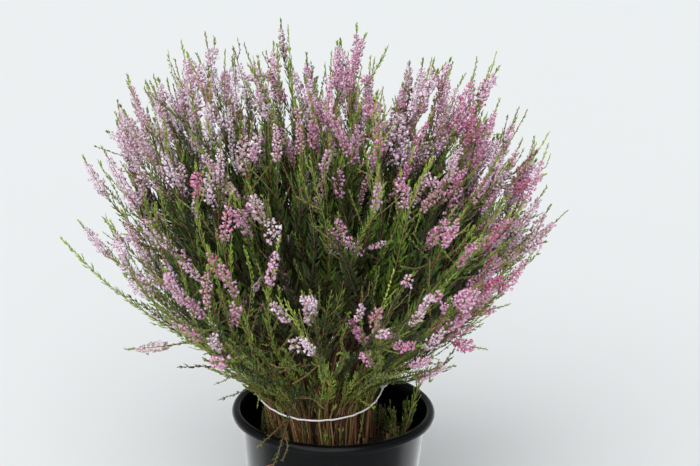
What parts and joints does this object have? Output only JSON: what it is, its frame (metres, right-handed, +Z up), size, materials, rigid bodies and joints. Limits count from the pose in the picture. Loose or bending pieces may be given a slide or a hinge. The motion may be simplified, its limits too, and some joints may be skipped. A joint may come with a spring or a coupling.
{
  "type": "potted heath",
  "caption": "Heath in a round rimmed nursery pot: a tied sheaf of woody stems fanning into leafy shoots and upright spikes of small flowers.",
  "frame": {"origin": "centre of the pot's flat foot", "axes": "+Z up along the pot's axis, -Y towards the side that is pictured, +X to that side's right"},
  "size_m": [0.4348, 0.4277, 0.5046],
  "materials": {
    "pot": "satin",
    "compost": "matt, crumbly",
    "tie": "fine braid",
    "tag": "smooth",
    "leaf": "matt",
    "flower": "soft, papery"
  },
  "bodies": {
    "root": {"pot": "pot", "compost": "compost", "tie_band": "tie", "tie_clip": "tag", "leafy_stem_01": "leaf", "flower_head_01": "flower", "leafy_stem_02": "leaf", "flower_head_02": "flower", "leafy_stem_03": "leaf", "flower_head_03": "flower", "leafy_stem_04": "leaf", "flower_head_04": "flower", "leafy_stem_05": "leaf", "flower_head_05": "flower", "leafy_stem_06": "leaf", "flower_head_06": "flower", "leafy_stem_07": "leaf", "flower_head_07": "flower", "leafy_stem_08": "leaf", "flower_head_08": "flower", "leafy_stem_09": "leaf", "flower_head_09": "flower", "leafy_stem_10": "leaf", "flower_head_10": "flower", "leafy_stem_11": "leaf", "flower_head_11": "flower", "leafy_stem_12": "leaf", "flower_head_12": "flower", "leafy_stem_13": "leaf", "flower_head_13": "flower", "leafy_stem_14": "leaf", "flower_head_14": "flower", "leafy_stem_15": "leaf", "flower_head_15": "flower", "leafy_stem_16": "leaf", "flower_head_16": "flower", "leafy_stem_17": "leaf", "flower_head_17": "flower", "leafy_stem_18": "leaf", "flower_head_18": "flower", "leafy_stem_19": "leaf", "flower_head_19": "flower", "leafy_stem_20": "leaf", "flower_head_20": "flower", "leafy_stem_21": "leaf", "flower_head_21": "flower", "leafy_stem_22": "leaf", "flower_head_22": "flower", "leafy_stem_23": "leaf", "flower_head_23": "flower", "leafy_stem_24": "leaf", "flower_head_24": "flower", "sprig_leaves": "leaf", "sprig_flowers": "flower"}
  },
  "joints": []
}
